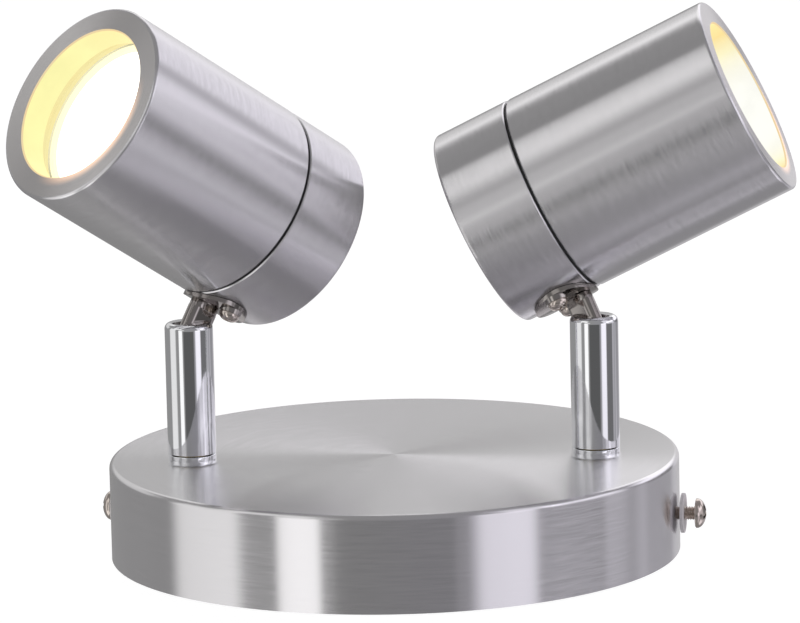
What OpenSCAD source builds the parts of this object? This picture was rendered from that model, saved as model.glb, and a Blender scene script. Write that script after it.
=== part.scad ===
// Twin pivoting spotlight for a wall or ceiling, in millimetres.
// The wall is the plane z = 0 and +Z points away from it. X runs through both side screws and
// along the bracket, and the line through both posts is turned from it by a few degrees.
// Each post swivels on the canopy, and each head tilts on its post.

/* [Canopy] */
// Outer diameter of the round canopy
base_d = 165; // [140:1:190]
// Height of the canopy from the wall to its flat top
base_h = 28; // [24:0.5:36]
// Thickness of the spun sheet
sheet = 1.2; // [0.8:0.1:1.4]
// Outer radius of the rounded top edge
rim_r = 1.5; // [1.5:0.1:4]

/* [Bracket] */
// Width of the strap that is screwed to the wall
strap_w = 22; // [18:1:30]
// Thickness of the strap and of its turned-up tabs
strap_t = 1.5; // [1:0.1:2]
// Distance between the two wall screws
wall_spacing = 94; // [86:1:100]
// Length of each wall screw slot
wall_slot_l = 10; // [7:0.5:12]
// Width of each wall screw slot
wall_slot_w = 4.5; // [4:0.1:5.5]
// Diameter of the hole for the supply cable
cable_hole_d = 12; // [8:0.5:13]
// Width of each turned-up tab
tab_w = 12; // [10:0.5:14]
// Height of each tab above the wall
tab_h = 18; // [16.5:0.5:20]

/* [Side screws] */
// Thread diameter of the two side screws
side_screw_d = 4; // [3:0.5:5]
// Diameter of the side screw's pan head
side_head_d = 8.6; // [7:0.1:9]
// Height of the side screw's pan head
side_head_h = 3; // [2:0.1:3.5]
// Length of the side screw under its head
side_screw_l = 12; // [9:0.5:16]
// Height of the side screws above the wall
side_screw_z = 11.7; // [11.5:0.1:14]
// Outer diameter of the sealing washer
side_washer_d = 11.5; // [9:0.1:13]
// Thickness of the sealing washer
side_washer_t = 1; // [0.8:0.1:2]
// How far the right screw is backed out, as in the photograph
right_screw_out = 4.2; // [0.5:0.1:4.5]

/* [Posts] */
// Distance between the two post axes
post_spacing = 117; // [112:0.5:124]
// Turn of the line through the posts from the line through the side screws
post_turn = 8; // [-10:1:10]
// Outer diameter of the post
post_d = 14; // [13.5:0.1:16]
// Wall of the post tube
post_wall = 1; // [0.8:0.1:1.2]
// Height of the post top above the canopy
post_h = 40; // [38:0.5:50]
// Radius of the post's rounded top edge
post_round = 1.7; // [1:0.1:2.4]
// Thickness of the fixed collar under the post
collar_t = 1.4; // [1:0.1:2]
// Gap between the collar and the turning post
swivel_gap = 0.35; // [0.2:0.05:0.6]
// Outer diameter of the hollow threaded nipple
nipple_d = 10; // [9:0.5:10]
// Bore of the nipple, for the leads
nipple_bore = 7; // [6:0.25:7.5]

/* [Knuckles] */
// Depth of the hinge pin below the post top
pivot_depth = 5.5; // [5:0.1:6.5]
// Diameter of the hinge pin
pin_d = 3; // [2.5:0.1:3.5]
// Thickness of the tongue between the post's ears
tongue_t = 4.6; // [4.4:0.1:5.2]
// Width of the tongue across its rounded edges
tongue_w = 9.8; // [8.8:0.1:10]
// How far the shoulder under the saddle stands out from the tongue's flat sides
shoulder_over = 0.4; // [0.2:0.1:0.5]
// Thickness of the shoulder
shoulder_t = 2; // [1.5:0.1:2.6]
// Diameter of the hollow threaded stem
stem_d = 6; // [5.6:0.1:7]
// Bore of the stem
stem_bore = 3.8; // [3.7:0.1:4]
// Distance from the hinge pin to the head's axis
head_drop = 43; // [42:0.5:48]
// Diameter of the saddle, a round plate bent to the head
saddle_d = 19.5; // [19.5:0.5:22]
// Thickness of the saddle
saddle_t = 1.2; // [0.8:0.1:1.6]

/* [Heads] */
// Outer diameter of the head
head_d = 60; // [58:0.5:64]
// Length of the head
head_len = 87.5; // [86:0.5:100]
// Length of the rear cup
cup_len = 23.3; // [23:0.1:26]
// Width of the groove between the cup and the front tube
seam_gap = 0.8; // [0.6:0.1:1]
// Wall of the cup and the front tube
head_wall = 1.5; // [1.2:0.1:1.8]
// Diameter of the mouth
mouth_d = 46; // [42:0.5:48]
// Depth of the mouth in front of the glass
mouth_l = 8.5; // [6:0.1:9]
// Thickness of the front glass
glass_t = 2; // [1.5:0.1:2.4]
// Distance from the head's rear end to the stem
rear_reach = 17.8; // [17:0.1:19]

/* [Pose as photographed] */
// Direction of the left tongue's front, counterclockwise from the line of the posts
left_swivel = -139; // [-180:1:-95]
// Direction of the right tongue's front, counterclockwise from the line of the posts
right_swivel = -47; // [-85:1:0]
// Lean of the left tongue behind the post
left_tilt = 32; // [0:1:45]
// Lean of the right tongue behind the post
right_tilt = 33; // [0:1:45]
// Turn of the left head on its stem, set when the stem nut is tightened
left_turn = 0; // [-20:1:20]
// Turn of the right head on its stem, set when the stem nut is tightened
right_turn = 34; // [0:1:45]

/* [Hidden] */

// Overrun of every cut past the face it leaves
cut = 1;
// Gap between pieces of one body that only touch
touch = 0.05;
// Radial clearance of each running fit: post on nipple, tongue on pin
run_fit = 0.05;
// Radial clearance of a hole that a screw passes through
pass_fit = 0.3;
// Facets of small turned pieces, heads, the canopy and the lamp cover
$fn = 64;
head_facets = 96;
canopy_facets = 128;
lens_facets = 256;

sides = [-1, 1];
base_r = base_d / 2;
post_r = post_d / 2;
post_in_r = post_r - post_wall;
head_r = head_d / 2;
head_in_r = head_r - head_wall;
cup_in_r = head_in_r - head_wall;
top_inner = base_h - sheet;
collar_top = base_h + collar_t;
post_z0 = collar_top + swivel_gap;
post_top = base_h + post_h;
pivot_z = post_top - pivot_depth;

// Shares of a pan head screw: recess width of the thread, recess length, start and edge of the head
recess_w_share = 0.25;
recess_l_share = 0.55;
recess_start_share = 0.45;
head_round_share = 0.85;
side_screw_turn = 20;
saddle_screw_turn = 30;
// Share of the right screw's way out that its washer has slid along
washer_out_share = 0.25;

// Foot of the post: a bush that turns on the nipple under a round nut
bush_h = 8;
swivel_nut_h = 2.4;
swivel_nut_side_gap = 0.2;
swivel_key_w = 1.6;
swivel_key_share = 0.5;
swivel_nut_gap = 0.15;
bush_top = post_z0 + bush_h;
swivel_nut_z = bush_top + swivel_nut_gap;
nipple_top = swivel_nut_z + swivel_nut_h;
// Nut and toothed washer under the canopy
nut_flats = 14;
nut_h = 4;
tooth_washer_d = 15;
tooth_washer_t = 1;
tooth_count = 12;
tooth_gap = 1;
nipple_tail = 3;
collar_round_share = 0.2;
nipple_z0 = top_inner - tooth_washer_t - nut_h - nipple_tail;

// Hinge: slot, block and tongue
slot_side_gap = 0.2;
slot_w = tongue_t + 2 * slot_side_gap;
hub_r = tongue_w / 2;
slot_drop_gap = 0.6;
rear_slot_drop = hub_r + slot_drop_gap;
slot_front = 5.4;
block_below = 7;
block_side_wall = 0.05;
block_r = post_in_r - block_side_wall;
cap_t = 1.2;
lead_hole_d = 5;
pin_half_share = 0.94;
port_slant = 135;
port_above_hub = 0.5;

// Saddle and what holds it
saddle_back = 3.5;
saddle_screw_back = 4.8;
saddle_screw_side = 6.3;
saddle_screw_d = 3;
saddle_head_d = 6;
saddle_head_h = 2.2;
saddle_screw_l = 6;
saddle_boss_r = 3.3;
saddle_gap = 0.1;
saddle_top = head_r + saddle_gap;
saddle_bottom = saddle_top + saddle_t;
shoulder_bottom = saddle_bottom + shoulder_t;
stem_nut_flats = 10.4;
stem_nut_h = 2.6;
stem_nut_seat = sqrt(pow(cup_in_r, 2) - pow(stem_nut_flats / 2 / cos(30), 2)) - touch;
stem_past_nut = 1.2;
stem_end = stem_nut_seat - stem_nut_h - stem_past_nut;

// Head shells
tube_z0 = cup_len + seam_gap;
spigot_l = 7;
spigot_r = head_in_r - touch;
cup_floor = 2.5;
cup_round = 1.1;
mouth_round = 0.9;
mouth_edge = 0.4;
seam_bevel = 0.45;
seal_r = seam_gap / 2;

// Front glass between a soft seal and a spring ring
glass_seal_t = 0.8;
glass_seal_w = 3.2;
glass_side_gap = 1.2;
glass_r = head_in_r - glass_side_gap;
glass_z1 = head_len - mouth_l - glass_seal_t;
glass_z0 = glass_z1 - glass_t;
glass_ring_t = 1.4;
glass_ring_w = 3.4;
glass_ring_split_share = 0.5;
glass_ring_z = glass_z0 - glass_ring_t;

// Lamp with a twist-lock base, and its holder
lamp_gap = 0.6;
lamp_z = glass_ring_z - lamp_gap;
lamp_l = 46.5;
lamp_bowl_l = 30;
lamp_neck_l = 9;
lamp_neck_lap = 3;
lamp_rim_r = 25;
lamp_rim_h = 3.2;
lamp_neck_r = 12;
lamp_neck_z = lamp_z - lamp_bowl_l;
lamp_base_z = lamp_z - lamp_l;
lamp_glass_wall = 1.2;
lens_r = 23;
lens_t = 1.6;
lens_crown = 1.1;
lens_inset = 0.8;
lamp_foot_r = 8.5;
lamp_foot_h = 4;
lamp_foot_round = 1;
pin_spacing = 10;
pin_shank_r = 1.5;
pin_head_r = 2.5;
pin_head_h = 2.2;
pin_len = 6.8;
pin_twist = 30;
pin_waist_share = 0.9;
pin_root = 1;
holder_r = 13;
holder_gap = 0.4;
holder_z0 = 7.6;
holder_z1 = lamp_base_z - holder_gap;
holder_round = 1.2;
plate_w = 9;
plate_t = 1;
plate_half = 21;
foot_l = 6.5;
foot_y = plate_half - foot_l / 2;
holder_screw_d = 3;
holder_screw_r = 9.5;
holder_screw_l = 7;
holder_head_d = 5.4;
holder_head_h = 1.8;
foot_screw_l = 2;

// Wiring: leads leave the terminal strip side by side and run in lanes beside the strap
lead_r = 0.9;
lead_pitch = 1.15;
lead_steps = 4;
lead_sides = 8;
lead_pair = 0.95;
lane_start = 4;
lane_step = 2.6;
lane_rise = 3.4;
lane_drop = 1.5;
lane_duck = 2.5;
lane_end = 22;
nipple_turn = 5;
nipple_entry = 3;
port_r = 1.5;
lead_bend = 3;
lead_spread = 1.9;
lane_turn_share = 0.8;
// Gap under the holder where the head leads end
lead_stop = 0.2;
// Directions that the leads' facets start from
base_lead_side = [0.3, 0.1, 0.9];
head_lead_side = [0, 1, 0.1];

// Terminal strip on the bracket
pole_count = 3;
pole_pitch = 8.6;
strip_x = 23;
strip_l = 17;
strip_h = 11;
strip_floor = 2.4;
pole_r = 3.7;
barrel_r = 2.6;
barrel_bore = 3.2;
pole_rise = 5.6;
pole_z = strap_t + pole_rise;
barrel_inset = 2;
pole_screw_r = 1.45;
pole_screw_offset = 4;
pole_screw_h = 4.2;
pole_screw_gap = 0.1;
pole_slot_w_share = 0.4;
pole_slot_z_share = 0.75;
pole_tower_wall = 1.5;
earth_x = -27;
earth_head_d = 8;
earth_head_h = 2.6;
earth_washer_d = 9.5;
earth_washer_t = 0.8;
bend_r = 1;
tab_gap = 0.5;
tab_x = sqrt(pow(base_r - sheet, 2) - pow(tab_w / 2, 2)) - tab_gap;

// Frames: the foot of a post, a post turned by its swivel, a knuckle tilted on its pin, and a
// head on its stem
module at_foot(side) {
    rotate([0, 0, post_turn])
        translate([side * post_spacing / 2, 0, 0])
            children();
}

module at_post(side) {
    at_foot(side)
        rotate([0, 0, side < 0 ? left_swivel : right_swivel])
            children();
}

module at_knuckle(side) {
    at_post(side)
        translate([0, 0, pivot_z])
            rotate([0, side < 0 ? -left_tilt : -right_tilt, 0])
                children();
}

module at_head(side) {
    at_knuckle(side)
        translate([0, 0, head_drop])
            rotate([0, 0, side < 0 ? left_turn : right_turn])
                children();
}

// Along the head: z runs from the rear face to the mouth, and +x points to the knuckle
module along_head(side) {
    at_head(side)
        translate([-rear_reach, 0, 0])
            rotate([0, 90, 0])
                children();
}

// Outline of a turned disc with a rounded outer top edge
module rounded_disc_outline(r, h, edge) {
    square([r - edge, h]);
    square([r, h - edge]);
    translate([r - edge, h - edge])
        circle(r = edge);
}

// Ring between two radii
module ring(r_out, r_in, h) {
    difference() {
        cylinder(r = r_out, h = h);
        translate([0, 0, -cut])
            cylinder(r = r_in, h = h + 2 * cut);
    }
}

// Hexagonal nut with a round hole, flats square to x
module hex_nut(flats, bore_r, h) {
    difference() {
        rotate([0, 0, 30])
            cylinder(r = flats / 2 / cos(30), h = h, $fn = 6);
        translate([0, 0, -cut])
            cylinder(r = bore_r, h = h + 2 * cut);
    }
}

// Pan head screw pointing down from z = 0, with a cross recess in its domed head
module pan_screw(d, head_d, head_h, length) {
    recess_w = d * recess_w_share;
    recess_l = head_d * recess_l_share;
    difference() {
        union() {
            rotate_extrude()
                intersection() {
                    rounded_disc_outline(head_d / 2, head_h, head_h * head_round_share);
                    square([head_d, head_h]);
                }
            translate([0, 0, -length])
                cylinder(r = d / 2, h = length + head_h / 2);
        }
        for (turn = [0, 90])
            rotate([0, 0, turn])
                translate([-recess_l / 2, -recess_w / 2, head_h * recess_start_share])
                    cube([recess_l, recess_w, head_h]);
    }
}

// Points of a smooth route through hand-set points
function route_point(p, i, s) =
    let (
        n = len(p) - 1,
        a = p[max(i - 1, 0)],
        b = p[i],
        c = p[i + 1],
        d = p[min(i + 2, n)]
    )
    0.5 * (2 * b + (c - a) * s + (2 * a - 5 * b + 4 * c - d) * s * s
        + (3 * b - a - 3 * c + d) * s * s * s);
function route(p) = [
    for (i = [0 : len(p) - 2], k = [0 : lead_steps - 1]) route_point(p, i, k / lead_steps),
    p[len(p) - 1]
];
function unit(v) = v / norm(v);
function heading(p, i) = unit(p[min(i + 1, len(p) - 1)] - p[max(i - 1, 0)]);
function square_to(v, t) = unit(v - (v * t) * t);
function side_vectors(p, i, v) =
    i == len(p) ? [] : let (s = square_to(v, heading(p, i))) concat([s], side_vectors(p, i + 1, s));

// Round lead along a route
module lead(points, r, start) {
    n = lead_sides;
    p = route(points);
    s = side_vectors(p, 0, start);
    verts = [
        for (i = [0 : len(p) - 1], k = [0 : n - 1])
            p[i] + r * (cos(360 * k / n) * s[i] + sin(360 * k / n) * cross(heading(p, i), s[i]))
    ];
    walls = [
        for (i = [0 : len(p) - 2], k = [0 : n - 1])
            [i * n + k, (i + 1) * n + k, (i + 1) * n + (k + 1) % n, i * n + (k + 1) % n]
    ];
    ends = [
        [for (k = [0 : n - 1]) k],
        [for (k = [n - 1 : -1 : 0]) (len(p) - 1) * n + k]
    ];
    polyhedron(points = verts, faces = concat(walls, ends), convexity = 8);
}

// Round canopy that covers the bracket
module canopy() {
    color([0.78, 0.78, 0.79])
        difference() {
            rotate_extrude($fn = canopy_facets)
                rounded_disc_outline(base_r, base_h, rim_r);
            translate([0, 0, -cut])
                rotate_extrude($fn = canopy_facets)
                    rounded_disc_outline(base_r - sheet, top_inner + cut, rim_r - sheet);
            for (side = sides) {
                at_foot(side)
                    translate([0, 0, top_inner - cut])
                        cylinder(r = nipple_d / 2 + touch, h = sheet + 2 * cut);
                translate([side * (base_r - sheet - cut), 0, side_screw_z])
                    rotate([0, side * 90, 0])
                        cylinder(r = side_screw_d / 2 + pass_fit, h = sheet + 2 * cut);
            }
        }
}

// Side view of one end of the strap, bent up into its tab
module bend_outline() {
    outer = bend_r + strap_t;
    square([tab_x - outer, strap_t]);
    translate([tab_x - strap_t, outer])
        square([strap_t, tab_h - outer]);
    translate([tab_x - outer, outer])
        intersection() {
            difference() {
                circle(r = outer);
                circle(r = bend_r);
            }
            translate([0, -outer])
                square([outer, outer]);
        }
}

// Round-ended bar or slot along X
module bar_outline(l, w) {
    square([l - w, w], center = true);
    for (side = sides)
        translate([side * (l - w) / 2, 0])
            circle(r = w / 2);
}

module wall_bracket() {
    wide_half = tab_x - 2 * bend_r - 3 * strap_t;
    color([0.72, 0.73, 0.75])
        difference() {
            union() {
                translate([-wide_half, -strap_w / 2, 0])
                    cube([2 * wide_half, strap_w, strap_t]);
                for (side = sides)
                    rotate([0, 0, side < 0 ? 180 : 0])
                        translate([0, tab_w / 2, 0])
                            rotate([90, 0, 0])
                                linear_extrude(tab_w)
                                    bend_outline();
            }
            translate([0, 0, -cut])
                linear_extrude(strap_t + 2 * cut) {
                    circle(r = cable_hole_d / 2);
                    for (side = sides)
                        translate([side * wall_spacing / 2, 0])
                            bar_outline(wall_slot_l, wall_slot_w);
                    translate([earth_x, 0])
                        circle(r = side_screw_d / 2 + touch);
                }
            for (side = sides)
                translate([side * (tab_x - strap_t - cut), 0, side_screw_z])
                    rotate([0, side * 90, 0])
                        cylinder(r = side_screw_d / 2 + touch, h = strap_t + 2 * cut);
        }
}

// How far each side screw is backed out
function screw_out(side) = side < 0 ? 0 : right_screw_out;

module side_screws() {
    color([0.75, 0.75, 0.76])
        for (side = sides)
            translate([side * (base_r + side_washer_t + screw_out(side)), 0, side_screw_z])
                rotate([0, side * 90, 0])
                    rotate([0, 0, side_screw_turn])
                        pan_screw(side_screw_d, side_head_d, side_head_h, side_screw_l);
}

module side_washers() {
    color([0.85, 0.84, 0.82])
        for (side = sides)
            translate([side * (base_r + washer_out_share * screw_out(side)), 0, side_screw_z])
                rotate([0, side * 90, 0])
                    ring(side_washer_d / 2, side_screw_d / 2 + touch, side_washer_t);
}

// Place of each pole of the terminal strip
module at_poles() {
    for (i = [0 : pole_count - 1])
        translate([strip_x + (i - (pole_count - 1) / 2) * pole_pitch, 0, 0])
            children();
}

module terminal_block() {
    color([0.93, 0.93, 0.9])
        difference() {
            union() {
                translate([strip_x - pole_count * pole_pitch / 2, -strip_l / 2, strap_t])
                    cube([pole_count * pole_pitch, strip_l, strip_floor]);
                at_poles() {
                    translate([0, -strip_l / 2, pole_z])
                        rotate([-90, 0, 0])
                            cylinder(r = pole_r, h = strip_l);
                    translate([-pole_r, -strip_l / 2, strap_t])
                        cube([2 * pole_r, strip_l, pole_z - strap_t]);
                    for (end = sides)
                        translate([0, end * pole_screw_offset, pole_z])
                            cylinder(r = pole_screw_r + pole_tower_wall, h = strip_h + strap_t - pole_z);
                }
            }
            at_poles() {
                translate([0, -strip_l / 2 - cut, pole_z])
                    rotate([-90, 0, 0])
                        cylinder(r = barrel_r + touch, h = strip_l + 2 * cut);
                for (end = sides)
                    translate([0, end * pole_screw_offset, pole_z])
                        cylinder(r = pole_screw_r + pole_screw_gap, h = strip_h + cut);
            }
        }
}

module terminal_barrels() {
    color([0.8, 0.66, 0.35])
        at_poles()
            difference() {
                translate([0, barrel_inset - strip_l / 2, pole_z])
                    rotate([-90, 0, 0])
                        cylinder(r = barrel_r, h = strip_l - 2 * barrel_inset);
                translate([0, -strip_l / 2, pole_z])
                    rotate([-90, 0, 0])
                        cylinder(r = barrel_bore / 2, h = strip_l);
                for (end = sides)
                    translate([0, end * pole_screw_offset, pole_z])
                        cylinder(r = pole_screw_r + pole_screw_gap, h = barrel_r + cut);
            }
}

module terminal_screws() {
    tip = barrel_bore / 2 + pole_screw_gap;
    slot = pole_screw_r * pole_slot_w_share;
    color([0.72, 0.72, 0.72])
        at_poles()
            for (end = sides)
                translate([0, end * pole_screw_offset, pole_z + tip])
                    difference() {
                        cylinder(r = pole_screw_r, h = pole_screw_h);
                        translate([-pole_screw_r - cut, -slot / 2, pole_screw_h * pole_slot_z_share])
                            cube([2 * pole_screw_r + 2 * cut, slot, pole_screw_h]);
                    }
}

// Earth screw with its washer, in the strap beside the cable hole
module earth_screw() {
    color([0.8, 0.66, 0.35])
        translate([earth_x, 0, strap_t + earth_washer_t]) {
            pan_screw(side_screw_d, earth_head_d, earth_head_h, strap_t + earth_washer_t);
            translate([0, 0, -earth_washer_t])
                cylinder(r = earth_washer_d / 2, h = earth_washer_t);
        }
}

module nipples() {
    color([0.8, 0.7, 0.45])
        for (side = sides)
            at_foot(side)
                translate([0, 0, nipple_z0])
                    ring(nipple_d / 2, nipple_bore / 2, nipple_top - nipple_z0);
}

module nipple_nuts() {
    color([0.78, 0.75, 0.68])
        for (side = sides)
            at_foot(side)
                translate([0, 0, nipple_z0 + nipple_tail])
                    hex_nut(nut_flats, nipple_d / 2 + touch, nut_h);
}

// Toothed washers that bite the sheet
module nipple_washers() {
    color([0.7, 0.7, 0.72])
        for (side = sides)
            at_foot(side)
                translate([0, 0, top_inner - tooth_washer_t])
                    difference() {
                        cylinder(r = tooth_washer_d / 2, h = tooth_washer_t);
                        translate([0, 0, -cut])
                            cylinder(r = nipple_d / 2 + touch, h = tooth_washer_t + 2 * cut);
                        for (i = [0 : tooth_count - 1])
                            rotate([0, 0, i * 360 / tooth_count])
                                translate([nut_flats / 2 - tooth_gap, -tooth_gap / 2, -cut])
                                    cube([tooth_washer_d, tooth_gap, tooth_washer_t + 2 * cut]);
                    }
}

// Round nuts with two key slots that hold the posts down on their nipples
module swivel_nuts() {
    nut_r = post_in_r - swivel_nut_side_gap;
    color([0.8, 0.7, 0.45])
        for (side = sides)
            at_foot(side)
                translate([0, 0, swivel_nut_z])
                    difference() {
                        ring(nut_r, nipple_d / 2 + touch, swivel_nut_h);
                        translate([-nut_r - cut, -swivel_key_w / 2, swivel_nut_h * swivel_key_share])
                            cube([2 * nut_r + 2 * cut, swivel_key_w, swivel_nut_h]);
                    }
}

// Fixed collars that the posts turn on
module collars() {
    color([0.82, 0.83, 0.85])
        for (side = sides)
            at_foot(side)
                translate([0, 0, base_h])
                    difference() {
                        rotate_extrude()
                            rounded_disc_outline(post_r, collar_t, collar_t * collar_round_share);
                        translate([0, 0, -cut])
                            cylinder(r = nipple_d / 2 + touch, h = collar_t + 2 * cut);
                    }
}

// Where lead number k of three lies around an axis
function lead_place(k) = lead_pitch * [-sin(360 * k / pole_count), cos(360 * k / pole_count), 0];

// Lead from pole number i to each nipple. The inner lane is lane 0.
module base_lead(i) {
    for (side = sides) {
        lane = side < 0 ? i : pole_count - 1 - i;
        place = lead_place((lane + 1) % pole_count);
        centre = side * post_spacing / 2 * [cos(post_turn), sin(post_turn)];
        foot = [centre[0] + side * place[0], centre[1] + place[1]];
        x0 = strip_x + (i - (pole_count - 1) / 2) * pole_pitch + side * lead_pair;
        y0 = strip_l / 2 - barrel_inset + touch;
        lane_y = strip_l / 2 + lane_start + lane_step * lane;
        lane_z = side < 0 ? pole_z + lane_rise : pole_z - lane_drop;
        duck = lane == 1 ? lane_duck : 0;
        lead([
            [x0, y0, pole_z],
            [x0, strip_l / 2, pole_z],
            [x0 + side * lead_pair, lane_y - lane_start / 2, lane_z],
            [x0 + side * (lead_pair + lane_start / 2), lane_y, lane_z],
            [centre[0] - side * lane_end, lane_y, lane_z],
            [centre[0] - side * nipple_turn, centre[1] + lane_step * (lane + lane_turn_share),
                lane_z - duck],
            [foot[0], foot[1], nipple_z0 - nipple_turn - duck],
            [foot[0], foot[1], nipple_z0],
            [foot[0], foot[1], nipple_z0 + nipple_entry],
            [foot[0], foot[1], collar_top]
        ], lead_r, base_lead_side);
    }
}

module live_leads() { color([0.45, 0.24, 0.12]) base_lead(0); }
module neutral_leads() { color([0.1, 0.25, 0.65]) base_lead(1); }
module earth_leads() { color([0.25, 0.6, 0.2]) base_lead(2); }

// Chromed tube with a closed, rounded top that is slotted for the tongue
module post_tube(side) {
    tube_h = post_top - post_z0;
    color([0.82, 0.83, 0.85])
        at_post(side)
            difference() {
                translate([0, 0, post_z0])
                    rotate_extrude()
                        rounded_disc_outline(post_r, tube_h, post_round);
                translate([0, 0, post_z0 - cut])
                    cylinder(r = post_in_r, h = tube_h - cap_t + cut);
                tongue_slot(post_r + cut, pivot_z - rear_slot_drop);
            }
}

// Milled slot that the tongue swings in: open behind the post, and only in the top in front
module tongue_slot(reach, rear_z) {
    r = slot_w / 2;
    front_z = post_top - cap_t - cut;
    translate([-reach, -r, rear_z + r])
        cube([reach, slot_w, post_top + cut - rear_z - r]);
    translate([-reach, 0, rear_z + r])
        rotate([0, 90, 0])
            cylinder(r = r, h = reach);
    translate([-r, -r, front_z])
        cube([slot_front, slot_w, cap_t + 2 * cut]);
    translate([slot_front - r, 0, front_z])
        cylinder(r = r, h = cap_t + 2 * cut);
}

module foot_bush(side) {
    color([0.8, 0.7, 0.45])
        at_post(side)
            translate([0, 0, post_z0])
                ring(post_in_r - block_side_wall, nipple_d / 2 + run_fit, bush_h);
}

// Slotted block inside the tube that holds the hinge pin
module hinge_block(side) {
    z0 = pivot_z - block_below;
    h = post_top - cap_t - touch - z0;
    color([0.7, 0.7, 0.71])
        at_post(side)
            difference() {
                translate([0, 0, z0])
                    cylinder(r = block_r, h = h);
                translate([-post_r, -slot_w / 2, pivot_z - rear_slot_drop])
                    cube([post_d, slot_w, post_top]);
                translate([0, 0, z0 - cut])
                    cylinder(r = lead_hole_d / 2, h = block_below);
                translate([0, -post_r, pivot_z])
                    rotate([-90, 0, 0])
                        cylinder(r = pin_d / 2, h = post_d);
            }
}

module hinge_pin(side) {
    half = block_r * pin_half_share;
    color([0.72, 0.73, 0.75])
        at_post(side)
            translate([0, -half, pivot_z])
                rotate([-90, 0, 0])
                    cylinder(r = pin_d / 2, h = 2 * half);
}

// Three leads inside the post, from the nipple to the hinge block
module post_leads(side) {
    z0 = collar_top + swivel_gap;
    z1 = pivot_z - rear_slot_drop - lead_r;
    color([0.9, 0.88, 0.84])
        at_post(side)
            for (i = [0 : pole_count - 1])
                translate([lead_place(i)[0], lead_place(i)[1], z0])
                    cylinder(r = lead_r, h = z1 - z0);
}

// Tongue with rounded edges, its hub, the shoulder and the hollow stem, in one piece.
// A slanting port in the tongue's back lets the leads in above the hinge pin.
module knuckle(side) {
    neck_h = head_drop - shoulder_bottom;
    bore_floor = hub_r + port_above_hub;
    color([0.76, 0.76, 0.77])
        difference() {
            at_knuckle(side) {
                translate([0, -tongue_t / 2, 0])
                    rotate([-90, 0, 0])
                        cylinder(r = hub_r, h = tongue_t);
                linear_extrude(neck_h)
                    bar_outline(tongue_w, tongue_t);
                translate([0, 0, neck_h])
                    linear_extrude(shoulder_t)
                        bar_outline(tongue_w - shoulder_over, tongue_t + 2 * shoulder_over);
                translate([0, 0, neck_h + shoulder_t])
                    cylinder(r = stem_d / 2, h = head_drop - stem_end - neck_h - shoulder_t);
            }
            at_knuckle(side) {
                translate([0, -post_r, 0])
                    rotate([-90, 0, 0])
                        cylinder(r = pin_d / 2 + run_fit, h = post_d);
                translate([0, 0, bore_floor])
                    cylinder(r = stem_bore / 2, h = head_drop);
                translate([0, 0, bore_floor])
                    rotate([0, -port_slant, 0])
                        cylinder(r = port_r, h = tongue_w);
            }
        }
}

// Cylinder round the head's axis, as long as the head to either side
module head_cylinder(r) {
    translate([-head_len, 0, 0])
        rotate([0, 90, 0])
            cylinder(r = r, h = 2 * head_len, $fn = head_facets);
}

// Round plate bent to the rear cup, with a flat boss under each screw head
module saddle(side) {
    color([0.75, 0.75, 0.76])
        at_head(side)
            difference() {
                union() {
                    intersection() {
                        translate([-saddle_back, 0, -saddle_bottom - cut])
                            cylinder(r = saddle_d / 2, h = head_r / 2);
                        head_cylinder(saddle_bottom);
                    }
                    for (end = sides)
                        translate([-saddle_screw_back, end * saddle_screw_side, -saddle_bottom])
                            cylinder(r = saddle_boss_r, h = 2 * saddle_t);
                }
                head_cylinder(saddle_top);
                translate([0, 0, -saddle_bottom - cut])
                    cylinder(r = stem_d / 2 + touch, h = head_r / 2);
                for (end = sides)
                    translate([-saddle_screw_back, end * saddle_screw_side, -saddle_bottom - cut])
                        cylinder(r = saddle_screw_d / 2 + touch, h = head_r / 2);
            }
}

module saddle_screws(side) {
    color([0.8, 0.79, 0.76])
        at_head(side)
            for (end = sides)
                translate([-saddle_screw_back, end * saddle_screw_side, -saddle_bottom])
                    rotate([180, 0, saddle_screw_turn])
                        pan_screw(saddle_screw_d, saddle_head_d, saddle_head_h, saddle_screw_l);
}

module stem_nut(side) {
    color([0.78, 0.75, 0.68])
        at_head(side)
            translate([0, 0, -stem_nut_seat])
                hex_nut(stem_nut_flats, stem_d / 2 + touch, stem_nut_h);
}

// Rear cup with the spigot that the front tube screws onto
module rear_cup(side) {
    color([0.76, 0.76, 0.77])
        difference() {
            along_head(side)
                difference() {
                    union() {
                        rotate([180, 0, 0])
                            translate([0, 0, -cup_len])
                                rotate_extrude($fn = head_facets)
                                    rounded_disc_outline(head_r, cup_len, cup_round);
                        translate([0, 0, cup_floor])
                            cylinder(r = spigot_r, h = tube_z0 + spigot_l - cup_floor);
                    }
                    translate([0, 0, cup_floor])
                        cylinder(r = cup_in_r, h = head_len);
                    for (end = sides)
                        translate([0, end * foot_y, cup_floor - foot_screw_l])
                            cylinder(r = holder_screw_d / 2 + touch, h = head_len);
                }
            at_head(side) {
                translate([0, 0, -head_r - cut])
                    cylinder(r = stem_d / 2 + touch, h = head_r);
                for (end = sides)
                    translate([-saddle_screw_back, end * saddle_screw_side, -head_r - cut])
                        cylinder(r = saddle_screw_d / 2 + touch, h = head_r / 2);
            }
        }
}

module seal_ring(side) {
    color([0.1, 0.1, 0.1])
        along_head(side)
            translate([0, 0, cup_len + seam_gap / 2])
                rotate_extrude($fn = head_facets)
                    translate([spigot_r + seal_r + touch / 2, 0])
                        circle(r = seal_r - touch / 2);
}

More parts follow.
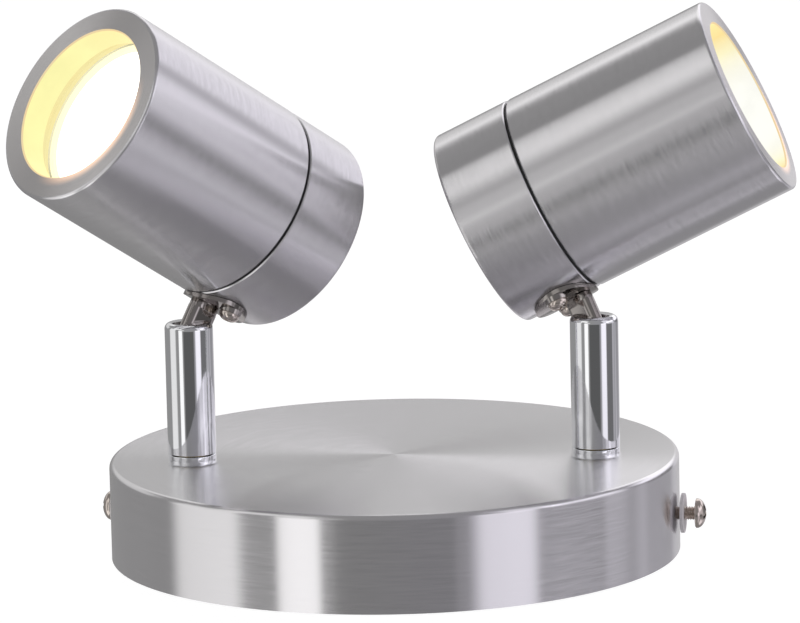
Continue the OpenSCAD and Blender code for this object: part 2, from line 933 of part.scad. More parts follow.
// Front tube with a flat rim round the mouth
module front_tube(side) {
    tube_l = head_len - tube_z0;
    mouth_r = mouth_d / 2;
    color([0.76, 0.76, 0.77])
        along_head(side)
            translate([0, 0, tube_z0])
                difference() {
                    rotate_extrude($fn = head_facets)
                        rounded_disc_outline(head_r, tube_l, mouth_round);
                    translate([0, 0, -cut])
                        cylinder(r = head_in_r, h = tube_l - mouth_l + cut);
                    cylinder(r = mouth_r, h = tube_l + cut);
                    translate([0, 0, tube_l - mouth_edge])
                        cylinder(r1 = mouth_r, r2 = mouth_r + mouth_edge + touch, h = mouth_edge + touch);
                    difference() {
                        translate([0, 0, -cut])
                            cylinder(r = head_r + cut, h = seam_bevel + cut);
                        cylinder(r1 = head_r - seam_bevel, r2 = head_r, h = seam_bevel);
                        translate([0, 0, -cut])
                            cylinder(r = head_r - seam_bevel, h = 2 * cut);
                    }
                }
}

// Soft ring that the glass is pressed against
module glass_seal(side) {
    color([0.75, 0.6, 0.4])
        along_head(side)
            translate([0, 0, glass_z1])
                ring(glass_r, glass_r - glass_seal_w, glass_seal_t);
}

module glass(side) {
    color([0.9, 0.95, 0.95, 0.5])
        along_head(side)
            translate([0, 0, glass_z0])
                cylinder(r = glass_r, h = glass_t);
}

// Split spring ring that holds the glass in the tube
module glass_ring(side) {
    split = glass_ring_w * glass_ring_split_share;
    color([0.7, 0.7, 0.72])
        along_head(side)
            translate([0, 0, glass_ring_z])
                difference() {
                    ring(head_in_r - touch, head_in_r - glass_ring_w, glass_ring_t);
                    translate([-head_r, -split / 2, -cut])
                        cube([glass_ring_w + head_r - head_in_r + cut, split, glass_ring_t + 2 * cut]);
                }
}

// Arc that a lamp pin of radius r sweeps as the lamp is twisted home, a little waisted
module pin_sweep(r, h) {
    waist = r * pin_waist_share;
    for (turn = [0, -pin_twist])
        rotate([0, 0, turn])
            translate([pin_spacing / 2, 0, 0])
                cylinder(r = r, h = h);
    rotate([0, 0, -pin_twist])
        rotate_extrude(angle = pin_twist)
            translate([pin_spacing / 2 - waist, 0])
                square([2 * waist, h]);
}

// Ceramic holder: each pin goes in through a wide hole and turns under a lip
module lampholder(side) {
    head_pocket_z = lamp_base_z - pin_len - touch;
    color([0.92, 0.91, 0.88])
        along_head(side)
            difference() {
                translate([0, 0, holder_z0])
                    rotate_extrude()
                        rounded_disc_outline(holder_r, holder_z1 - holder_z0, holder_round);
                for (end = sides) {
                    rotate([0, 0, end < 0 ? 180 : 0])
                        translate([0, 0, head_pocket_z]) {
                            pin_sweep(pin_head_r + pass_fit, pin_head_h + 2 * touch);
                            pin_sweep(pin_shank_r + pass_fit, lamp_l);
                            rotate([0, 0, -pin_twist])
                                translate([pin_spacing / 2, 0, 0])
                                    cylinder(r = pin_head_r + pass_fit, h = lamp_l);
                        }
                    translate([0, end * holder_screw_r, holder_z0 - cut])
                        cylinder(r = holder_screw_d / 2 + touch, h = holder_screw_l + cut);
                }
            }
}

// Bent strap that carries the holder off the cup's rear wall
module holder_bracket(side) {
    color([0.72, 0.73, 0.75])
        along_head(side)
            difference() {
                union() {
                    translate([-plate_w / 2, foot_l - plate_half, holder_z0 - plate_t])
                        cube([plate_w, 2 * (plate_half - foot_l), plate_t]);
                    for (end = sides) {
                        translate([-plate_w / 2, end * (plate_half - foot_l) - plate_t / 2, cup_floor])
                            cube([plate_w, plate_t, holder_z0 - cup_floor]);
                        translate([-plate_w / 2, end * foot_y - foot_l / 2, cup_floor])
                            cube([plate_w, foot_l, plate_t]);
                    }
                }
                for (end = sides) {
                    translate([0, end * holder_screw_r, 0])
                        cylinder(r = holder_screw_d / 2 + touch, h = holder_z0 + cut);
                    translate([0, end * foot_y, 0])
                        cylinder(r = holder_screw_d / 2 + touch, h = holder_z0 / 2);
                }
            }
}

// Two screws up into the holder, and two down into the cup's floor
module holder_screws(side) {
    color([0.75, 0.75, 0.76])
        along_head(side)
            for (end = sides) {
                translate([0, end * holder_screw_r, holder_z0 - plate_t])
                    rotate([180, 0, 0])
                        pan_screw(holder_screw_d, holder_head_d, holder_head_h, holder_screw_l);
                translate([0, end * foot_y, cup_floor + plate_t])
                    pan_screw(holder_screw_d, holder_head_d, holder_head_h, foot_screw_l + plate_t - touch);
            }
}

// Two leads from the stem to the holder's rear
module head_leads(side) {
    color([0.9, 0.88, 0.84])
        along_head(side)
            for (end = sides)
                lead([
                    [shoulder_bottom + lead_bend / 2, end * lead_pair, rear_reach],
                    [stem_end, end * lead_pair, rear_reach],
                    [stem_end - lead_bend, end * lead_spread, rear_reach - lead_bend / 2],
                    [holder_r + lead_bend, end * 2 * lead_spread, holder_z0],
                    [holder_r - lead_bend / 2, end * 2 * lead_spread, cup_floor + lead_r + touch],
                    [holder_r - 2 * lead_bend, end * 2 * lead_spread, holder_z0 - 2 * lead_r],
                    [holder_r - 2 * lead_bend, end * 2 * lead_spread, holder_z0 - lead_stop]
                ], lead_r, head_lead_side);
}

// Insulating base of the lamp with its two headed pins
module lamp_base(side) {
    color([0.93, 0.93, 0.91])
        along_head(side) {
            translate([0, 0, lamp_base_z])
                cylinder(r = lamp_foot_r, h = lamp_foot_h);
            translate([0, 0, lamp_base_z + lamp_foot_h])
                rotate_extrude()
                    rounded_disc_outline(lamp_neck_r - lamp_glass_wall - touch,
                        lamp_neck_z + lamp_neck_lap - lamp_base_z - lamp_foot_h, lamp_foot_round);
            for (end = sides)
                translate([end * pin_spacing / 2, 0, lamp_base_z - pin_len]) {
                    cylinder(r = pin_head_r, h = pin_head_h);
                    cylinder(r = pin_shank_r, h = pin_len + pin_root);
                }
        }
}

// Outline of the reflector: a straight neck, a bowl that opens as a parabola, and a rim
bowl_steps = 10;
function bowl_r(s) = lamp_neck_r + (lamp_rim_r - lamp_neck_r) * sqrt(s);
function bowl(shrink) = [
    for (i = [0 : bowl_steps])
        let (s = i / bowl_steps)
            [bowl_r(s) - shrink, lamp_neck_z + (lamp_z - lamp_rim_h - lamp_neck_z) * s]
];

module lamp_reflector(side) {
    neck_z0 = lamp_neck_z - lamp_neck_l;
    inner = [for (i = [bowl_steps : -1 : 0]) bowl(lamp_glass_wall)[i]];
    color([0.86, 0.86, 0.84])
        along_head(side)
            rotate_extrude()
                polygon(concat(
                    [[lamp_neck_r, neck_z0]],
                    bowl(0),
                    [[lamp_rim_r, lamp_z], [lamp_rim_r - lamp_glass_wall, lamp_z]],
                    inner,
                    [[lamp_neck_r - lamp_glass_wall, neck_z0]]
                ));
}

// Domed cover of the lamp that the light comes through
module lamp_lens(side) {
    sphere_r = (pow(lens_r, 2) + pow(lens_crown, 2)) / 2 / lens_crown;
    color([1, 0.95, 0.8])
        along_head(side)
            translate([0, 0, lamp_z - lens_inset - lens_t]) {
                cylinder(r = lens_r, h = lens_t);
                rotate_extrude()
                    intersection() {
                        translate([0, lens_t + lens_crown - sphere_r])
                            circle(r = sphere_r, $fn = lens_facets);
                        translate([0, lens_t / 2])
                            square([lens_r, lens_t + lens_crown]);
                    }
            }
}

module left_post_tube() { post_tube(-1); }
module left_foot_bush() { foot_bush(-1); }
module left_hinge_block() { hinge_block(-1); }
module left_hinge_pin() { hinge_pin(-1); }
module left_post_leads() { post_leads(-1); }
module left_knuckle() { knuckle(-1); }
module left_saddle() { saddle(-1); }
module left_saddle_screws() { saddle_screws(-1); }
module left_stem_nut() { stem_nut(-1); }
module left_rear_cup() { rear_cup(-1); }
module left_seal_ring() { seal_ring(-1); }
module left_front_tube() { front_tube(-1); }
module left_glass_seal() { glass_seal(-1); }
module left_glass() { glass(-1); }
module left_glass_ring() { glass_ring(-1); }
module left_lampholder() { lampholder(-1); }
module left_holder_bracket() { holder_bracket(-1); }
module left_holder_screws() { holder_screws(-1); }
module left_head_leads() { head_leads(-1); }
module left_lamp_base() { lamp_base(-1); }
module left_lamp_reflector() { lamp_reflector(-1); }
module left_lamp_lens() { lamp_lens(-1); }

module right_post_tube() { post_tube(1); }
module right_foot_bush() { foot_bush(1); }
module right_hinge_block() { hinge_block(1); }
module right_hinge_pin() { hinge_pin(1); }
module right_post_leads() { post_leads(1); }
module right_knuckle() { knuckle(1); }
module right_saddle() { saddle(1); }
module right_saddle_screws() { saddle_screws(1); }
module right_stem_nut() { stem_nut(1); }
module right_rear_cup() { rear_cup(1); }
module right_seal_ring() { seal_ring(1); }
module right_front_tube() { front_tube(1); }
module right_glass_seal() { glass_seal(1); }
module right_glass() { glass(1); }
module right_glass_ring() { glass_ring(1); }
module right_lampholder() { lampholder(1); }
module right_holder_bracket() { holder_bracket(1); }
module right_holder_screws() { holder_screws(1); }
module right_head_leads() { head_leads(1); }
module right_lamp_base() { lamp_base(1); }
module right_lamp_reflector() { lamp_reflector(1); }
module right_lamp_lens() { lamp_lens(1); }

canopy();
wall_bracket();
side_screws();
side_washers();
terminal_block();
terminal_barrels();
terminal_screws();
earth_screw();
nipples();
nipple_nuts();
nipple_washers();
swivel_nuts();
collars();
live_leads();
neutral_leads();
earth_leads();
left_post_tube();
left_foot_bush();
left_hinge_block();
left_hinge_pin();
left_post_leads();
left_knuckle();
left_saddle();
left_saddle_screws();
left_stem_nut();
left_rear_cup();
left_seal_ring();
left_front_tube();
left_glass_seal();
left_glass();
left_glass_ring();
left_lampholder();
left_holder_bracket();
left_holder_screws();
left_head_leads();
left_lamp_base();
left_lamp_reflector();
left_lamp_lens();
right_post_tube();
right_foot_bush();
right_hinge_block();
right_hinge_pin();
right_post_leads();
right_knuckle();
right_saddle();
right_saddle_screws();
right_stem_nut();
right_rear_cup();
right_seal_ring();
right_front_tube();
right_glass_seal();
right_glass();
right_glass_ring();
right_lampholder();
right_holder_bracket();
right_holder_screws();
right_head_leads();
right_lamp_base();
right_lamp_reflector();
right_lamp_lens();
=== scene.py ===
"""Twin pivoting spotlight in satin nickel, lit like the photograph."""

import math

import bmesh
import bpy
from mathutils import Matrix, Vector


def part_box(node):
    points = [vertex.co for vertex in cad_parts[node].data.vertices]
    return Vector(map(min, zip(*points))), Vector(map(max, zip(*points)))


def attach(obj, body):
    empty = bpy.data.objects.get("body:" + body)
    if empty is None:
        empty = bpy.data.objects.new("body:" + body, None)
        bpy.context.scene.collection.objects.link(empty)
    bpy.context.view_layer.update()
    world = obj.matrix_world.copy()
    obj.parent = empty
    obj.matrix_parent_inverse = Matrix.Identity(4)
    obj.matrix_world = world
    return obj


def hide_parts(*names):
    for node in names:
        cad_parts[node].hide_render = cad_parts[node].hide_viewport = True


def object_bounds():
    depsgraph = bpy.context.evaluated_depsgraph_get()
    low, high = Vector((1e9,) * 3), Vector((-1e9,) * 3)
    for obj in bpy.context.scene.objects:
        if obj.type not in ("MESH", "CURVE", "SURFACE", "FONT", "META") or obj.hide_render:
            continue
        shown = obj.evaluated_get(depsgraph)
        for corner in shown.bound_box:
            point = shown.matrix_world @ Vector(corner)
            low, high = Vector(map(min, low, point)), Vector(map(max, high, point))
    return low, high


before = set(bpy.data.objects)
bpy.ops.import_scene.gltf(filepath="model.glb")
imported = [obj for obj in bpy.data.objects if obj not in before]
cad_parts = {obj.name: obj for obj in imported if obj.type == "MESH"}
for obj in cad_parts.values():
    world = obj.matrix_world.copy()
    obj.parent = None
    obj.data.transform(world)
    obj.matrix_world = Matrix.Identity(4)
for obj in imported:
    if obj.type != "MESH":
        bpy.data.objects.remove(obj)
cad_bounds = [list(c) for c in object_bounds()]

MM = 0.001
SIDES = ("left", "right")

# Turn of the line through the posts from the line through the side screws
POST_TURN = math.radians(8)

# Camera, fitted to the outline of canopy, posts and heads. Its bearing is taken from the front of
# the posts' line.
IMAGE_WIDTH = 800
FOCAL_PX = 5893.4
CAMERA_BEARING = math.radians(1.41)
CAMERA_ELEVATION = math.radians(10.516)
CAMERA_ROLL = math.radians(-1.274)
CAMERA_DISTANCE = 1700 * MM
CAMERA_TARGET = Vector((2.62, 0.37, 69.98)) * MM
CAMERA_NEAR = 50 * MM
CAMERA_FAR = 20000 * MM
SENSOR = 36

# Sizes taken from the frame
canopy_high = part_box("canopy")[1]
BASE_R = canopy_high.x
BASE_H = canopy_high.z
POST_FOOT = {side: sum(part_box(side + "_post_tube"), Vector()).xy.to_3d() / 2 for side in SIDES}
POST_Z0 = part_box("left_post_tube")[0].z
POST_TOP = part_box("left_post_tube")[1].z

# The sizes from here on are those that the frame's boxes don't give.
# Canopy: its wall and the rounding of its top edge
SHEET = 1.2 * MM
RIM_R = 1.5 * MM

# Posts: outer and inner radius
POST_R = 7 * MM
POST_IN_R = 6 * MM

# Heads: radii and lengths, measured from the rear face of the cup
HEAD_R = 30 * MM
HEAD_IN_R = 28.5 * MM
CUP_IN_R = 27 * MM
HEAD_LEN = 87.5 * MM
CUP_LEN = 23.3 * MM
TUBE_Z0 = 24.1 * MM
MOUTH_R = 23 * MM
MOUTH_L = 8.5 * MM

# Place of a head: height of the tilt pin, then up the knuckle to the head's axis, then back along
# that axis to the rear face
PIVOT_Z = 62.5 * MM
HEAD_DROP = 43 * MM
REAR_REACH = 17.8 * MM

# Pose at rest in degrees: swivel, tilt above level, and turn of the head on its stem
POSE = {"left": (-139, 32, 0), "right": (-47, 33, 34)}

# Side screws: head, shank with its thread, both measured from the head's seat, and the turn of the
# cross recess in degrees
SIDE_HEAD_R = 4.3 * MM
SIDE_HEAD_H = 3 * MM
SHANK_R = 2 * MM
THREAD_DEPTH = 0.35 * MM
THREAD_PITCH = 0.7 * MM
SHANK_LOW = -12 * MM
SHANK_HIGH = 0.3 * MM
RECESS_TURN = 20

# Floor: gap under the canopy and half its width
FLOOR_GAP = 0.3 * MM
FLOOR_REACH = 6000 * MM

# Steps round the turned pieces
TURNS = 192
CANOPY_TURNS = 360
POST_TURNS = 96
CUTTER_TURNS = 48
SCREW_TURNS = 64

# Radius under which a point of an outline counts as lying on the axis
ON_AXIS = 1e-7

# Softened edges and welded corners of the CAD nodes
EDGE_BEVEL = 0.12 * MM
WELD_GAP = 0.002 * MM


def post_frame(side):
    """Frame of a post: z up its axis, and x towards its front."""
    swivel = POST_TURN + math.radians(POSE[side][0])
    return Matrix.Translation(POST_FOOT[side]) @ Matrix.Rotation(swivel, 4, "Z")


def head_frame(side):
    """Frame of a head: z from its rear face to its mouth, x towards the knuckle."""
    tilt, turn = (math.radians(a) for a in POSE[side][1:])
    place = post_frame(side) @ Matrix.Translation((0, 0, PIVOT_Z)) @ Matrix.Rotation(-tilt, 4, "Y")
    place @= Matrix.Translation((0, 0, HEAD_DROP)) @ Matrix.Rotation(turn, 4, "Z")
    return place @ Matrix.Translation((-REAR_REACH, 0, 0)) @ Matrix.Rotation(math.pi / 2, 4, "Y")


def link(name, mesh, place=None):
    """New object in the scene, at a place in the row frame."""
    obj = bpy.data.objects.new(name, mesh)
    bpy.context.scene.collection.objects.link(obj)
    if place is not None:
        obj.matrix_world = place
    return obj


def arc(centre, radius, start, end, steps=8):
    """Points of an arc in the r-z plane, angles in degrees."""
    points = []
    for i in range(steps + 1):
        a = math.radians(start + (end - start) * i / steps)
        points.append((centre[0] + radius * math.cos(a), centre[1] + radius * math.sin(a)))
    return points


def lathe(name, outline, place=None, turns=TURNS, closed=True):
    """Turned piece from an outline of (radius, height) points, with its faces in the outline's order.

    A closed outline goes on from its last point to its first.
    """
    rings = []
    mesh = bpy.data.meshes.new(name)
    bm = bmesh.new()
    for r, z in outline:
        if r < ON_AXIS:
            rings.append([bm.verts.new((0, 0, z))])
            continue
        ring = []
        for i in range(turns):
            a = 2 * math.pi * i / turns
            ring.append(bm.verts.new((r * math.cos(a), r * math.sin(a), z)))
        rings.append(ring)
    count = len(rings) if closed else len(rings) - 1
    for k in range(count):
        a, b = rings[k], rings[(k + 1) % len(rings)]
        if len(a) == 1 and len(b) == 1:
            continue
        for i in range(turns):
            j = (i + 1) % turns
            corners = [a[i % len(a)], a[j % len(a)], b[j % len(b)], b[i % len(b)]]
            unique = []
            for v in corners:
                if v not in unique:
                    unique.append(v)
            bm.faces.new(unique)
    bmesh.ops.recalc_face_normals(bm, faces=bm.faces)
    bm.to_mesh(mesh)
    bm.free()
    smooth(mesh)
    return link(name, mesh, place)


def smooth(mesh, angle=32):
    """Smooth shading with sharp edges above an angle."""
    mesh.polygons.foreach_set("use_smooth", [True] * len(mesh.polygons))
    mesh.set_sharp_from_angle(angle=math.radians(angle))
    mesh.update()


def even_normals(obj):
    """Keeps large flat faces flat in the shading, beside rounded edges."""
    m = obj.modifiers.new("weighted", "WEIGHTED_NORMAL")
    m.keep_sharp = True
    m.weight = 80


def carve(obj, *cutters):
    """Cuts the cutters out of obj and removes them."""
    for c in cutters:
        m = obj.modifiers.new("cut", "BOOLEAN")
        m.operation = "DIFFERENCE"
        m.solver = "EXACT"
        m.object = c
    bpy.context.view_layer.update()
    depsgraph = bpy.context.evaluated_depsgraph_get()
    mesh = bpy.data.meshes.new_from_object(obj.evaluated_get(depsgraph))
    obj.modifiers.clear()
    obj.data = mesh
    smooth(mesh)
    for c in cutters:
        bpy.data.objects.remove(c)


def block(low, high, place):
    """Box cutter between two corners in its own frame."""
    mesh = bpy.data.meshes.new("cutter")
    bm = bmesh.new()
    bmesh.ops.create_cube(bm, size=1)
    for v in bm.verts:
        for k in range(3):
            v.co[k] = low[k] if v.co[k] < 0 else high[k]
    bm.to_mesh(mesh)
    bm.free()
    return link("cutter", mesh, place)


def rod(radius, length, place):
    """Round cutter that stands on its place."""
    outline = [(0, 0), (radius, 0), (radius, length), (0, length)]
    return lathe("cutter", outline, place, turns=CUTTER_TURNS, closed=False)


class Nodes:
    """Short way to wire a material or the world."""

    def __init__(self, owner, output="OutputMaterial"):
        self.owner = owner
        owner.use_nodes = True
        self.tree = owner.node_tree
        self.tree.nodes.clear()
        self.out = self.tree.nodes.new("ShaderNode" + output)

    def node(self, kind, **values):
        """New node. Each value goes to the setting or the input of its name."""
        made = self.tree.nodes.new("ShaderNode" + kind)
        for key, value in values.items():
            if hasattr(made, key) and key not in made.inputs:
                setattr(made, key, value)
            else:
                made.inputs[key].default_value = value
        return made

    def wire(self, source, target):
        self.tree.links.new(source, target)

    def math(self, operation, a, b=None):
        """Result of an operation on sockets or plain numbers."""
        made = self.node("Math", operation=operation)
        for i, value in enumerate((a, b)):
            if value is None:
                continue
            if isinstance(value, (int, float)):
                made.inputs[i].default_value = value
            else:
                self.wire(value, made.inputs[i])
        return made.outputs[0]

    def ramp(self, source, low, high, out_low, out_high):
        """Smooth step from out_low at low to out_high at high."""
        made = self.node("MapRange")
        made.inputs["From Min"].default_value = low
        made.inputs["From Max"].default_value = high
        made.inputs["To Min"].default_value = out_low
        made.inputs["To Max"].default_value = out_high
        made.interpolation_type = "SMOOTHSTEP"
        self.wire(source, made.inputs["Value"])
        return made.outputs["Result"]

    def noise(self, vector, scale, detail):
        made = self.node("TexNoise")
        made.inputs["Scale"].default_value = scale
        made.inputs["Detail"].default_value = detail
        self.wire(vector, made.inputs["Vector"])
        return made.outputs["Fac"]

    def tint(self, colour, factor):
        """Colour times a factor."""
        made = self.node("Mix", data_type="RGBA", blend_type="MULTIPLY")
        made.inputs[0].default_value = 1.0
        made.inputs[6].default_value = (*colour, 1)
        grey = self.node("CombineColor")
        for i in range(3):
            self.wire(factor, grey.inputs[i])
        self.wire(grey.outputs[0], made.inputs[7])
        return made.outputs[2]


def brushed(name, colour, roughness, anisotropic, lines, glow=0.0):
    """Metal brushed in circles round the object's own z axis, with painted lamp light as a warm glow by
    the mouth.
    """
    n = Nodes(bpy.data.materials.new(name))
    place = n.node("TexCoord").outputs["Object"]
    split = n.node("SeparateXYZ")
    n.wire(place, split.inputs[0])
    x, y, z = split.outputs
    r = n.math("SQRT", n.math("ADD", n.math("MULTIPLY", x, x), n.math("MULTIPLY", y, y)))
    safe = n.math("MAXIMUM", r, 0.01 * MM)
    along = n.math("ADD", z, r)

    def lined(around, across):
        """Coordinates that are stretched round the axis, so that noise on them makes lines."""
        joined = n.node("CombineXYZ")
        n.wire(n.math("MULTIPLY", n.math("DIVIDE", x, safe), around), joined.inputs[0])
        n.wire(n.math("MULTIPLY", n.math("DIVIDE", y, safe), around), joined.inputs[1])
        n.wire(n.math("MULTIPLY", along, across), joined.inputs[2])
        return joined.outputs[0]

    fine = 5200.0
    broad = fine / 5
    fine_share = 0.7
    cloud_share = 0.25
    darkest_line = 0.09
    rough_spread = 0.14
    fine_lines = n.noise(lined(around=9.0, across=fine), scale=1.0, detail=3.0)
    broad_lines = n.noise(lined(around=2.0, across=broad), scale=1.0, detail=2.0)
    clouds = n.noise(place, scale=26.0, detail=2.0)
    mixed = n.math("ADD", n.math("MULTIPLY", fine_lines, fine_share),
                   n.math("MULTIPLY", broad_lines, 1 - fine_share))
    clouded = n.math("ADD", mixed, n.math("MULTIPLY", clouds, cloud_share))
    shade = n.ramp(clouded, low=0.35, high=0.85, out_low=1 - darkest_line * lines, out_high=1.0)
    rough = n.ramp(mixed, low=0.3, high=0.7, out_low=roughness * (1 - rough_spread),
                   out_high=roughness * (1 + rough_spread))
    shader = n.node("BsdfPrincipled", Metallic=1.0)
    n.wire(n.tint(colour, shade), shader.inputs["Base Color"])
    n.wire(rough, shader.inputs["Roughness"])
    shader.inputs["Anisotropic"].default_value = anisotropic
    shader.inputs["Anisotropic Rotation"].default_value = 0.25
    tangent = n.node("Tangent", direction_type="RADIAL", axis="Z")
    n.wire(tangent.outputs[0], shader.inputs["Tangent"])
    bump = n.node("Bump", Strength=0.03 * lines, Distance=0.02 * MM)
    n.wire(mixed, bump.inputs["Height"])
    n.wire(bump.outputs[0], shader.inputs["Normal"])
    # Painted lamp light: the rim glows warm next to the mouth, more strongly towards one side.
    if glow:
        glow_width = 3.2 * MM
        glow_x, glow_y = 0.6, 0.8
        near = n.ramp(r, low=MOUTH_R, high=MOUTH_R + glow_width, out_low=1.0, out_high=0.0)
        towards = n.math("ADD", n.math("MULTIPLY", x, glow_x), n.math("MULTIPLY", y, glow_y))
        aside = n.ramp(n.math("DIVIDE", towards, safe), low=0.4, high=1.0, out_low=0.0, out_high=glow)
        shader.inputs["Emission Color"].default_value = (1.0, 0.56, 0.30, 1)
        n.wire(n.math("MULTIPLY", near, aside), shader.inputs["Emission Strength"])
    n.wire(shader.outputs[0], n.out.inputs[0])
    return n.owner


def plain(name, colour, roughness, metallic=0.0, bump=0.05, spread=0.08):
    """Uniform finish with a fine grain in colour, roughness and relief."""
    grain = 900.0
    n = Nodes(bpy.data.materials.new(name))
    place = n.node("TexCoord").outputs["Object"]
    speck = n.noise(place, scale=grain, detail=3.0)
    cloud = n.noise(place, scale=grain / 12, detail=2.0)
    mixed = n.math("ADD", n.math("MULTIPLY", speck, 0.5), n.math("MULTIPLY", cloud, 0.5))
    shade = n.ramp(mixed, low=0.3, high=0.7, out_low=1 - spread, out_high=1.0)
    rough = n.ramp(mixed, low=0.3, high=0.7, out_low=roughness * 0.8, out_high=roughness * 1.2)
    shader = n.node("BsdfPrincipled", Metallic=metallic, IOR=1.5)
    n.wire(n.tint(colour, shade), shader.inputs["Base Color"])
    n.wire(rough, shader.inputs["Roughness"])
    relief = n.node("Bump", Strength=bump, Distance=0.05 * MM)
    n.wire(speck, relief.inputs["Height"])
    n.wire(relief.outputs[0], shader.inputs["Normal"])
    n.wire(shader.outputs[0], n.out.inputs[0])
    return n.owner


def glowing(name, strength, *stops, round_mouth=False):
    """Surface with painted light as emission. Its stops give colours over faint clouds, or over its y
    from side to side.
    """
    n = Nodes(bpy.data.materials.new(name))
    shader = n.node("BsdfPrincipled", Roughness=0.6)
    shader.inputs["Base Color"].default_value = (0.03, 0.03, 0.02, 1)
    shader.inputs["Specular IOR Level"].default_value = 0.2
    colours = n.node("ValToRGB")
    points = colours.color_ramp.elements
    while len(points) < len(stops):
        points.new(0.5)
    for point, (place, colour) in zip(points, stops):
        point.position = place
        point.color = (*colour, 1)
    place = n.node("TexCoord").outputs["Object"]
    cloud = n.noise(place, scale=110.0, detail=3.0)
    # Painted light that brightens from one side of the mouth to the other.
    if round_mouth:
        split = n.node("SeparateXYZ")
        n.wire(place, split.inputs[0])
        across = n.ramp(split.outputs[1], low=-MOUTH_R, high=MOUTH_R, out_low=0.0, out_high=1.0)
        n.wire(across, colours.inputs[0])
    else:
        n.wire(n.ramp(cloud, low=0.3, high=0.7, out_low=0.0, out_high=1.0), colours.inputs[0])
    level = n.ramp(cloud, low=0.3, high=0.7, out_low=strength * 0.97, out_high=strength * 1.03)
    n.wire(colours.outputs[0], shader.inputs["Emission Color"])
    n.wire(level, shader.inputs["Emission Strength"])
    n.wire(shader.outputs[0], n.out.inputs[0])
    return n.owner


def clear(name, tint):
    """Clear glass: lets light straight through, and mirrors more at a slant."""
    n = Nodes(bpy.data.materials.new(name))
    through = n.node("BsdfTransparent")
    through.inputs[0].default_value = (*tint, 1)
    mirror = n.node("BsdfGlossy", Roughness=0.03)
    slant = n.node("LayerWeight")
    slant.inputs["Blend"].default_value = 0.5
    grazing = n.math("POWER", slant.outputs["Facing"], 4.0)
    smear = n.noise(n.node("TexCoord").outputs["Object"], scale=90.0, detail=2.0)
    share = n.math("ADD", n.math("MULTIPLY", grazing, 0.5), n.math("MULTIPLY", smear, 0.05))
    mix = n.node("MixShader")
    n.wire(share, mix.inputs[0])
    n.wire(through.outputs[0], mix.inputs[1])
    n.wire(mirror.outputs[0], mix.inputs[2])
    n.wire(mix.outputs[0], n.out.inputs[0])
    return n.owner


def pale_floor(name):
    """White floor that keeps a faint shadow. Only the camera sees it, and only from above."""
    n = Nodes(bpy.data.materials.new(name))
    cloud = n.noise(n.node("TexCoord").outputs["Object"], scale=4.0, detail=2.0)
    shade = n.ramp(cloud, low=0.3, high=0.7, out_low=0.97, out_high=1.0)
    matt = n.node("BsdfDiffuse")
    n.wire(n.tint((0.34, 0.34, 0.34), shade), matt.inputs[0])
    lit = n.node("Emission", Strength=0.88)
    lit.inputs[0].default_value = (1, 1, 1, 1)
    both = n.node("AddShader")
    n.wire(matt.outputs[0], both.inputs[0])
    n.wire(lit.outputs[0], both.inputs[1])
    front = n.math("SUBTRACT", 1.0, n.node("NewGeometry").outputs["Backfacing"])
    mix = n.node("MixShader")
    n.wire(n.math("MULTIPLY", n.node("LightPath").outputs["Is Camera Ray"], front), mix.inputs[0])
    n.wire(n.node("BsdfTransparent").outputs[0], mix.inputs[1])
    n.wire(both.outputs[0], mix.inputs[2])
    n.wire(mix.outputs[0], n.out.inputs[0])
    return n.owner


canopy_metal = brushed("canopy_metal", (0.80, 0.79, 0.81), roughness=0.21, anisotropic=1.0, lines=0.5)
head_metal = brushed("head_metal", (0.78, 0.77, 0.79), roughness=0.23, anisotropic=1.0, lines=0.5)
# Rim metal with painted lamp light as a warm glow by the mouth.
rim_metal = brushed("rim_metal", (0.80, 0.78, 0.78), roughness=0.22, anisotropic=0.95, lines=0.15,
                    glow=0.8)
chrome = plain("chrome", (0.86, 0.87, 0.89), roughness=0.05, metallic=1.0, bump=0.01, spread=0.02)
nickel = plain("nickel", (0.38, 0.355, 0.34), roughness=0.09, metallic=1.0, bump=0.04)
screw_metal = plain("screw_metal", (0.66, 0.59, 0.54), roughness=0.13, metallic=1.0, bump=0.04)
zinc = plain("zinc", (0.68, 0.69, 0.71), roughness=0.35, metallic=1.0)
brass = plain("brass", (0.80, 0.62, 0.30), roughness=0.30, metallic=1.0)
# Brass darkened so that the narrow gap by the foot bushes reads dark: painted shade.
dark_brass = plain("dark_brass", (0.16, 0.12, 0.09), roughness=0.45, metallic=1.0)
washer_stuff = plain("washer_stuff", (0.95, 0.92, 0.92), roughness=0.45)
white_plastic = plain("white_plastic", (0.86, 0.86, 0.83), roughness=0.45)
ceramic = plain("ceramic", (0.88, 0.87, 0.83), roughness=0.3)
rubber = plain("rubber", (0.03, 0.03, 0.03), roughness=0.6)
sleeve = plain("sleeve", (0.80, 0.78, 0.72), roughness=0.6)
brown = plain("brown", (0.30, 0.14, 0.07), roughness=0.4)
blue = plain("blue", (0.05, 0.15, 0.50), roughness=0.4)
green = plain("green", (0.16, 0.45, 0.10), roughness=0.4)
glass = clear("glass", (0.97, 0.97, 0.95))
